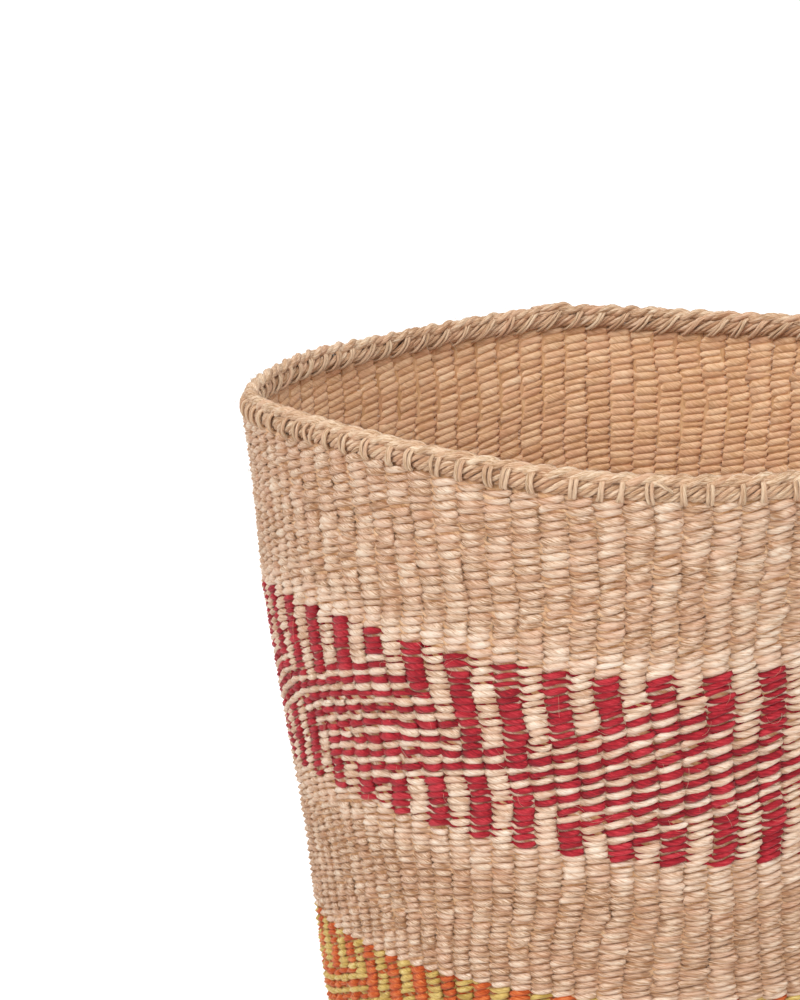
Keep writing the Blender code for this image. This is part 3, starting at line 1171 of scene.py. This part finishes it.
@dataclass
class RimRoll(RimPiece):
    """The bundle of strands round the top of the wall, squeezed where it is lashed."""

    seed: int = 41
    strand_count: int = 7
    lay_turns: int = 45
    half_wide: float = 1.75 * MM
    half_tall: float = 1.85 * MM
    strand_half_out: float = 0.95 * MM
    strand_half_across: float = 0.90 * MM
    fullness: float = 0.06
    squeeze: float = 0.20
    slimming: float = 0.12
    # Painted shade: how much darker the roll's strands are made where a lashing binds them.
    pinch_painted_shade: float = 0.05
    wound_share: float = 1.16
    wobble: Waves = (500, 8, 0.10)
    swelling: Waves = (600, 8, 0.05)
    tone_drift: Waves = (700, 10, 0.10)
    tone_jitter: float = 0.13
    steps_each_column: int = 6

    def lay_strands(self, tubes: TubeMesh) -> None:
        """Wind the strands of the roll.

        Args:
            tubes: The mesh that takes them.
        """
        random = np.random.default_rng(self.seed)
        steps = self.form.columns * self.steps_each_column
        angle = TURN * np.arange(steps) / steps
        length = np.linspace(0, TURN * self.form.rim_radius * self.wound_share, steps + 1)
        pinch = self.pinch(angle)
        slim = 1 - self.slimming * pinch
        for number in range(self.strand_count):
            wobble = self.uneven(self.wobble, number, angle)
            spin = self.lay_turns * angle + TURN * number / self.strand_count + wobble
            swell = 1 + self.fullness * (1 - pinch) - self.squeeze * pinch
            swell = swell + self.uneven(self.swelling, number, angle)
            offsets = (self.half_wide * swell * np.cos(spin), self.half_tall * swell * np.sin(spin))
            halves = (self.strand_half_out * slim, self.strand_half_across * slim)
            rings = self.rings(offsets, angle, spin, halves)
            tone = 0.5 + random.normal(0, self.tone_jitter) + self.uneven(self.tone_drift, number, angle)
            # The strands get painted shade where the lashings bind the roll.
            tubes.lay(rings, length, tone - self.pinch_painted_shade * pinch, random, closed=True)


@dataclass
class RimLashing(RimPiece):
    """Two strands side by side that bind the roll, one turn for each warp, in one unbroken winding."""

    seed: int = 53
    half_wide: float = 3.05 * MM
    half_tall: float = 3.10 * MM
    squareness: float = 2.6
    strand_half_wide: float = 0.68 * MM
    strand_half_thick: float = 0.48 * MM
    strand_spacing: float = 1.2 * MM
    lean_jitter: float = 0.06
    swell_jitter: float = 0.012
    spacing_jitter: float = 0.07
    width_jitter: float = 0.08
    tone_jitter: float = 0.10
    steps_each_turn: int = 16
    tilts: tuple[float, ...] = (-50.0, 90.0, 180.0, 230.0, 310.0)
    advances: tuple[float, ...] = (0.0, 0.06, 0.50, 0.85, 1.0)
    end_rings: int = 12
    end_start: float = FRONT + math.radians(0.1)
    end_aside: tuple[float, float] = (0.6, 4.6)
    end_out: tuple[float, float] = (2.7 * MM, 0.9 * MM)
    end_climb: tuple[float, float] = (3.4 * MM, 2.4 * MM)
    end_curl: float = 1.6
    end_halves: tuple[float, float] = (0.45 * MM, 0.6 * MM)
    end_length: float = 5 * MM

    def lay_strands(self, tubes: TubeMesh) -> None:
        """Wind the two strands.

        Args:
            tubes: The mesh that takes them.
        """
        random = np.random.default_rng(self.seed)
        for side in (-1, 1):
            self.wind(tubes, side, random)
        self.tuck_end(tubes, random)

    def wind(self, tubes: TubeMesh, side: int, random: np.random.Generator) -> None:
        """Wind one strand all the way round the rim.

        Args:
            tubes: The mesh that takes it.
            side: -1 for the left strand of each lashing and 1 for the right one.
            random: The source of its unevenness.
        """
        turns = self.form.columns
        step = np.arange(turns * self.steps_each_turn)
        turn, share = step // self.steps_each_turn, (step % self.steps_each_turn) / self.steps_each_turn
        tilt = self.tilts[0] + 360.0 * share
        advance = np.interp(tilt, self.tilts, self.advances)
        shift = self.lashing_shift()
        column = turn + advance + shift[turn] * (1 - advance) + shift[turn + 1] * advance
        column = column + random.normal(0, self.lean_jitter, turns)[turn] * np.sin(TURN * share)
        spin = np.radians(tilt)
        swell = 1 + random.normal(0, self.swell_jitter, turns)[turn]
        power = self.squareness
        square = (np.abs(np.cos(spin)) ** power + np.abs(np.sin(spin)) ** power) ** (-1 / power) * swell
        offsets = (self.half_wide * square * np.cos(spin), self.half_tall * square * np.sin(spin))
        spread = random.normal(1, self.spacing_jitter, turns)[turn] * self.strand_spacing / 2
        angle = self.join_turn + self.pitch * column + spread * side / self.form.rim_radius
        half = self.strand_half_wide * (1 + random.normal(0, self.width_jitter, turns)[turn])
        rings = self.rings(offsets, angle, spin, (self.strand_half_thick, half), sideways(angle))
        length = step * TURN * self.half_tall / self.steps_each_turn
        tone = 0.5 + random.normal(0, self.tone_jitter, turns)[turn]
        tubes.lay(rings, length, tone, random)

    def tuck_end(self, tubes: TubeMesh, random: np.random.Generator) -> None:
        """Lay the end of a strand that leaves a lashing at the front and is tucked in beside it.

        Args:
            tubes: The mesh that takes it.
            random: The source of the number that tells it from the others.
        """
        share = np.linspace(0, 1, self.end_rings)
        first, further = self.end_aside
        angle = self.end_start + (first + further * share) * MM / self.form.rim_radius
        out, bulge = self.end_out
        top, drop = self.end_climb
        offsets = (out + bulge * np.sin(math.pi * share), top - drop * share**self.end_curl)
        rings = self.rings(offsets, angle, 0 * share, self.end_halves, UP)
        tubes.lay(rings, self.end_length * share, 0.5, random)


@dataclass
class RimCrest(RimPiece):
    """The two-strand cord along the top of the roll, whose thinned ends lie over each other in a low hump."""

    seed: int = 61
    seat: float = 260.5 * MM
    half_offset: float = 0.72 * MM
    strand_offset: float = 0.50 * MM
    strand_half: float = 1.14 * MM
    strand_lays: float = 0.2
    end_share: float = 0.62
    lap: float = 13.0 * MM
    lap_sinking: float = 0.72
    thinning: float = 15.0 * MM
    ramp: float = 9.0 * MM
    rise: Waves = (81, 10, 0.6 * 0.25 * MM)
    sway: Waves = (82, 10, 0.25 * MM)
    twist_drift: Waves = (83, 9, 0.35)
    size_drift: Waves = (90, 12, 0.07)
    tone_drift: Waves = (95, 16, 0.10)
    tone: float = 0.52
    tone_jitter: float = 0.03
    yarn_count: int = 4
    wound_share: float = 1.2
    flattening: float = 1.08
    steps_each_column: int = 12

    def lay_strands(self, tubes: TubeMesh) -> None:
        """Twist the cord, of two strands of two yarns each.

        Args:
            tubes: The mesh that takes it.
        """
        random = np.random.default_rng(self.seed)
        length = TURN * self.form.rim_radius + self.lap
        along = length * np.linspace(0, 1, self.form.columns * self.steps_each_column + 1)
        angle = self.join_turn + (along - self.lap / 2) / self.form.rim_radius
        place = (angle - self.join_turn) / self.pitch
        from_end = np.minimum(along, length - along)
        size = self.end_share + (1 - self.end_share) * smooth_step(from_end / self.thinning)
        half_height = (self.half_offset + self.strand_half) * size
        over = smooth_step((along - length + self.lap) / self.ramp + 0.5)
        lifted = 2 * self.end_share * (self.half_offset + self.strand_half) * self.lap_sinking * over
        middle = self.seat + half_height + lifted + self.uneven(self.rise, 0, angle)
        aside = self.uneven(self.sway, 0, angle)
        for number in range(self.yarn_count):
            spin = TURN * place / 2 + math.pi * (number % 2) + self.uneven(self.twist_drift, 0, angle)
            inner = spin + TURN * place * self.strand_lays + math.pi * (number // 2)
            out = aside + size * (self.half_offset * np.cos(spin) + self.strand_offset * np.cos(inner))
            climb = size * (self.half_offset * np.sin(spin) + self.strand_offset * np.sin(inner))
            half = size * self.strand_half * (1 + self.uneven(self.size_drift, number, angle))
            offsets = (out, middle - self.roll_height + climb)
            rings = self.rings(offsets, angle, inner, (half, half * self.flattening))
            tone = self.tone + random.normal(0, self.tone_jitter) + self.uneven(self.tone_drift, number, angle)
            tubes.lay(rings, along * self.wound_share, tone, random)


@dataclass
class LooseFibres(Piece):
    """Fine ends of fibre that stand off the weft."""

    cells_across: int = 20
    seed: int = 71
    wall_count: int = 1100
    rim_count: int = 340
    half: float = 0.048 * MM
    lengths: tuple[float, float] = (5.0 * MM, 15.0 * MM)
    shortened: tuple[float, float] = (0.5, 1.0)
    heading: tuple[float, float] = (0.3, 1.3)
    bend: tuple[float, float] = (0.0, 1.4)
    lift: tuple[float, float] = (0.08, 0.30)
    lowest: float = 6 * MM
    rim_middle: float = 259.4 * MM
    rim_spins: tuple[float, float] = (-0.5, 2.6)
    wall_rooting: float = 0.3 * MM
    rim_depths: tuple[float, float] = (3.0 * MM, 1.6 * MM)
    lift_power: float = 0.8
    lift_end: float = 0.8
    tilt: float = 0.01
    taper: float = 0.5
    tone_jitter: float = 0.12
    ring_count: int = 6
    sides: int = 3

    def lay_strands(self, tubes: TubeMesh) -> None:
        """Scatter the fibres over the wall and the rim.

        Args:
            tubes: The mesh that takes them.
        """
        random = np.random.default_rng(self.seed)
        for _ in range(self.wall_count):
            height = random.uniform(self.lowest, self.form.wall_head)
            place, normal, _ = self.form.section(self.form.wall_travel(height))
            depth = self.form.wall_thickness / 2 - self.wall_rooting
            self.lay_fibre(tubes, random, place[0], normal[0], depth)
        for _ in range(self.rim_count):
            spin = random.uniform(*self.rim_spins)
            normal = np.array([math.cos(spin), math.sin(spin)])
            place = np.array([self.form.rim_radius, self.rim_middle])
            depth = self.rim_depths[0] + self.rim_depths[1] * max(math.sin(spin), 0)
            self.lay_fibre(tubes, random, place, normal, depth)

    def lay_fibre(
        self, tubes: TubeMesh, random: np.random.Generator, place: Array, normal: Array, depth: float
    ) -> None:
        """Lay one fibre that springs from the surface and lies back towards it.

        Args:
            tubes: The mesh that takes it.
            random: The source of its place and shape.
            place: (radius, height) of the middle surface.
            normal: The outward direction there.
            depth: How far the surface is from the middle surface.
        """
        share = np.linspace(0, 1, self.ring_count)
        angle = random.uniform(0, TURN) + 0 * share
        length = random.uniform(*self.lengths) * random.uniform(*self.shortened)
        course = random.normal(*self.heading) + random.normal(*self.bend) * share
        lift = random.uniform(*self.lift) * length
        aside = np.cumsum(np.cos(course)) * length / self.ring_count
        climb = np.cumsum(np.sin(course)) * length / self.ring_count
        outward = self.form.turned(normal, angle)
        along = self.form.turned(np.array([-normal[1], normal[0]]), angle)
        across = sideways(angle)
        out = depth + lift * np.sin(math.pi * share**self.lift_power * self.lift_end)
        centres = self.form.place(place[0], angle, place[1] + 0 * share)
        centres = centres + out[:, None] * outward + climb[:, None] * along + aside[:, None] * across
        line = np.gradient(centres, axis=0)
        line /= np.linalg.norm(line, axis=1)[:, None]
        first = np.cross(line, outward + self.tilt * across)
        first /= np.linalg.norm(first, axis=1)[:, None]
        half = self.half * (1 - self.taper * share)
        rings = ring_points(centres, first, np.cross(line, first), half, half, self.sides)
        tubes.lay(rings, length * share, 0.5 + random.normal(0, self.tone_jitter), random)


@dataclass(frozen=True)
class Lamp:
    """A soft square lamp that faces the basket."""

    name: str
    place: tuple[float, float, float]
    size: float
    watts: float
    faces: tuple[float, float, float] = (0.0, 0.0, 0.15)

    def hang(self) -> None:
        """Make the lamp and put it in its place."""
        data = bpy.data.lights.new(self.name, "AREA")
        data.size = self.size
        data.energy = self.watts
        item = bpy.data.objects.new(self.name, data)
        item.location = self.place
        item.rotation_euler = (Vector(self.place) - Vector(self.faces)).to_track_quat("Z", "Y").to_euler()
        bpy.context.scene.collection.objects.link(item)


@dataclass(frozen=True)
class Studio:
    """The pale floor, the soft lights and the camera."""

    lamps: tuple[Lamp, ...] = (
        Lamp("key", (-2.5, -2.0, 2.0), 2.4, 49.0),
        Lamp("fill", (1.5, -2.8, 1.0), 2.4, 16.0),
        Lamp("top", (0.2, -1.1, 2.4), 1.8, 28.0),
    )
    world_level: float = 0.58
    floor_half: float = 30.0
    floor_drop: float = 0.2 * MM
    floor_shade: float = 0.82
    floor_glow: float = 0.60
    target: tuple[float, float, float] = (0.0, 0.0, 262.5 * MM)
    distance: float = 1276.1 * MM
    elevation: float = math.radians(10.286)
    roll: float = math.radians(0.727)
    target_pixel: tuple[float, float] = (654.97, 391.37)
    focal_pixels: float = 4017.4
    image_size: tuple[int, int] = (800, 1000)
    sensor: float = 36.0

    def build(self) -> None:
        """Set the world, the floor, the lamps, the camera and the view."""
        self.world()
        self.floor()
        for lamp in self.lamps:
            lamp.hang()
        self.camera()
        bpy.context.scene.view_settings.view_transform = "Standard"

    def world(self) -> None:
        """Light the scene evenly, and show plain white behind it."""
        world = bpy.data.worlds.new("studio")
        world.use_nodes = True
        bpy.context.scene.world = world
        graph = Graph(world.node_tree)
        level = self.world_level + graph.looked_at() * (1.0 - self.world_level)
        background = graph.node("ShaderNodeBackground", {}, {"Color": WHITE, "Strength": level})
        graph.node("ShaderNodeOutputWorld", {}, {"Surface": background.outputs[0]})

    def floor(self) -> None:
        """Lay a wide floor that shows white and still takes the basket's shadow."""
        side = self.floor_half
        corners = [(-side, -side, 0), (side, -side, 0), (side, side, 0), (-side, side, 0)]
        mesh = bpy.data.meshes.new("floor")
        mesh.from_pydata(corners, [], [(0, 1, 2, 3)])
        item = bpy.data.objects.new("floor", mesh)
        bpy.context.scene.collection.objects.link(item)
        item.location.z = -self.floor_drop
        paint = bpy.data.materials.new("pale_floor")
        paint.use_nodes = True
        graph = Graph(paint.node_tree)
        strength = graph.looked_at() * self.floor_glow
        matt = graph.node("ShaderNodeBsdfDiffuse", {}, {"Color": (*[self.floor_shade] * 3, 1)})
        glow = graph.node("ShaderNodeEmission", {}, {"Color": WHITE, "Strength": strength})
        both = graph.node("ShaderNodeAddShader", {}, {0: matt.outputs[0], 1: glow.outputs[0]})
        graph.node("ShaderNodeOutputMaterial", {}, {"Surface": both.outputs[0]})
        mesh.materials.append(paint)

    def camera(self) -> None:
        """Place the camera so that the middle of the mouth falls where the photograph has it."""
        data = bpy.data.cameras.new("camera")
        data.sensor_width = self.sensor
        data.lens = self.focal_pixels * self.sensor / max(self.image_size)
        item = bpy.data.objects.new("camera", data)
        bpy.context.scene.collection.objects.link(item)
        back = Vector((0, -math.cos(self.elevation), math.sin(self.elevation)))
        level = Matrix((Vector((1, 0, 0)), back.cross(Vector((1, 0, 0))), back)).transposed()
        aside = (self.target_pixel[0] - self.image_size[0] / 2) / self.focal_pixels
        above = (self.image_size[1] / 2 - self.target_pixel[1]) / self.focal_pixels
        ray = Vector((aside, above, -1)).normalized()
        turn = ray.rotation_difference(Vector((0, 0, -1))).to_matrix()
        rolled = Matrix.Rotation(self.roll, 3, "Z")
        item.matrix_world = (level @ rolled @ turn).to_4x4()
        item.location = Vector(self.target) + back * self.distance
        bpy.context.scene.camera = item


@dataclass(frozen=True)
class Basket:
    """The whole basket: its form, its bands and its rim."""

    form: BasketForm = BasketForm()
    band_foot: float = 13.2
    rounds_to_knot: int = 34
    last_round_radius: float = 9.3 * MM
    first_heel_row: float = 6.5

    def bands(self) -> list[WeftBand]:
        """Set out the bands of the wall.

        Returns:
            The bands, from the bottom up.
        """
        natural = (Dye.NATURAL, Dye.CREAM, Dye.INNER)
        red = StepChart(26, 72, longer=((64, 3.0), (66, 1.5)))
        orange = StepChart(26, 54)
        # Painted shade: the middle band's rows get a lower base tone than the upper band's, where less light falls
        # lower on the wall.
        steep, middle_painted_shade = Twining(slant=0.43), Twining(base_tone=0.45)
        # Each band: its name, its slot, its dyes, its head in mm, its rows, its chart, its pale rows and its twining.
        table = (
            ("lower_natural", "natural_sisal", natural, 39.6, 12, None, (11,), Twining()),
            ("orange_yellow", "orange_sisal", (Dye.YELLOW, Dye.ORANGE), 96.8, 26, orange, (), steep),
            ("middle_natural", "natural_sisal", natural, 145.2, 24, None, (0, 20, 21, 22, 23), middle_painted_shade),
            ("red_cream", "crimson_sisal", (Dye.CREAM, Dye.CRIMSON), 202.4, 26, red, (), steep),
            ("upper_natural", "natural_sisal", natural, 256.1, 22, None, (0, 1, 2), Twining()),
        )
        bands, foot = [], self.band_foot
        for name, slot, dyes, head, rows, chart, pale_rows, twining in table:
            piece = WeftBand(f"{name}_weft", (f"weft_{name}", "weft_inside"), slot, self.form, dyes)
            piece.foot, piece.head, piece.row_count = foot * MM, head * MM, rows
            piece.chart, piece.pale_rows, piece.twining = chart, pale_rows, twining
            bands.append(piece)
            foot = head
        return bands

    def rounds(self) -> tuple[tuple[float, ...], tuple[float, ...]]:
        """Space the rounds of the heel and of the floor.

        Returns:
            The travels of the heel's rounds and of the floor's rounds.
        """
        form = self.form
        first = form.wall_travel(self.first_heel_row * form.row_pitch) - form.row_pitch / math.cos(form.lean)
        heel = tuple(float(v) for v in np.arange(first, -form.heel_length, -form.row_pitch))
        innermost = form.floor_travel(self.last_round_radius)
        floor = np.linspace(heel[-1] - form.row_pitch, innermost, self.rounds_to_knot)
        return heel, tuple(float(v) for v in floor)

    def pieces(self) -> list[Piece]:
        """Set out every piece.

        Returns:
            The pieces, from the base up.
        """
        form = self.form
        heel, floor = self.rounds()
        plain = (Dye.NATURAL,)
        base_nodes, heel_nodes = ("base_weft_under", "base_weft_over"), ("weft_heel_outside", "weft_heel_inside")
        return [
            StartKnot("start_knot", ("base_start_knot",), "warp_sisal", form, (Dye.WARP, Dye.NATURAL)),
            BaseWeft("base_weft", base_nodes, "natural_sisal", form, plain, travels=floor),
            Warps("standing_warps", ("warps",), "warp_sisal", form, (Dye.WARP,)),
            BaseWeft("heel_weft", heel_nodes, "natural_sisal", form, plain, travels=heel),
            *self.bands(),
            RimRoll("rim_roll_strands", ("rim_roll",), "rim_sisal", form, (Dye.RIM,)),
            RimLashing("rim_lashing_strands", ("rim_lashing",), "pale_sisal", form, (Dye.LASHING,)),
            RimCrest("rim_crest_cord", ("rim_crest",), "rim_sisal", form, (Dye.RIM,)),
            LooseFibres("loose_fibres", (), "pale_sisal", form, (Dye.HAIR,)),
        ]


def main() -> None:
    """Build the studio and every piece of the basket."""
    logging.basicConfig(level=logging.INFO, format="%(name)s %(message)s")
    Studio().build()
    for piece in Basket().pieces():
        item = piece.build()
        LOG.info("%s: %d faces", item.name, len(item.data.polygons))
    bpy.context.view_layer.update()


if __name__ == "__main__":
    main()
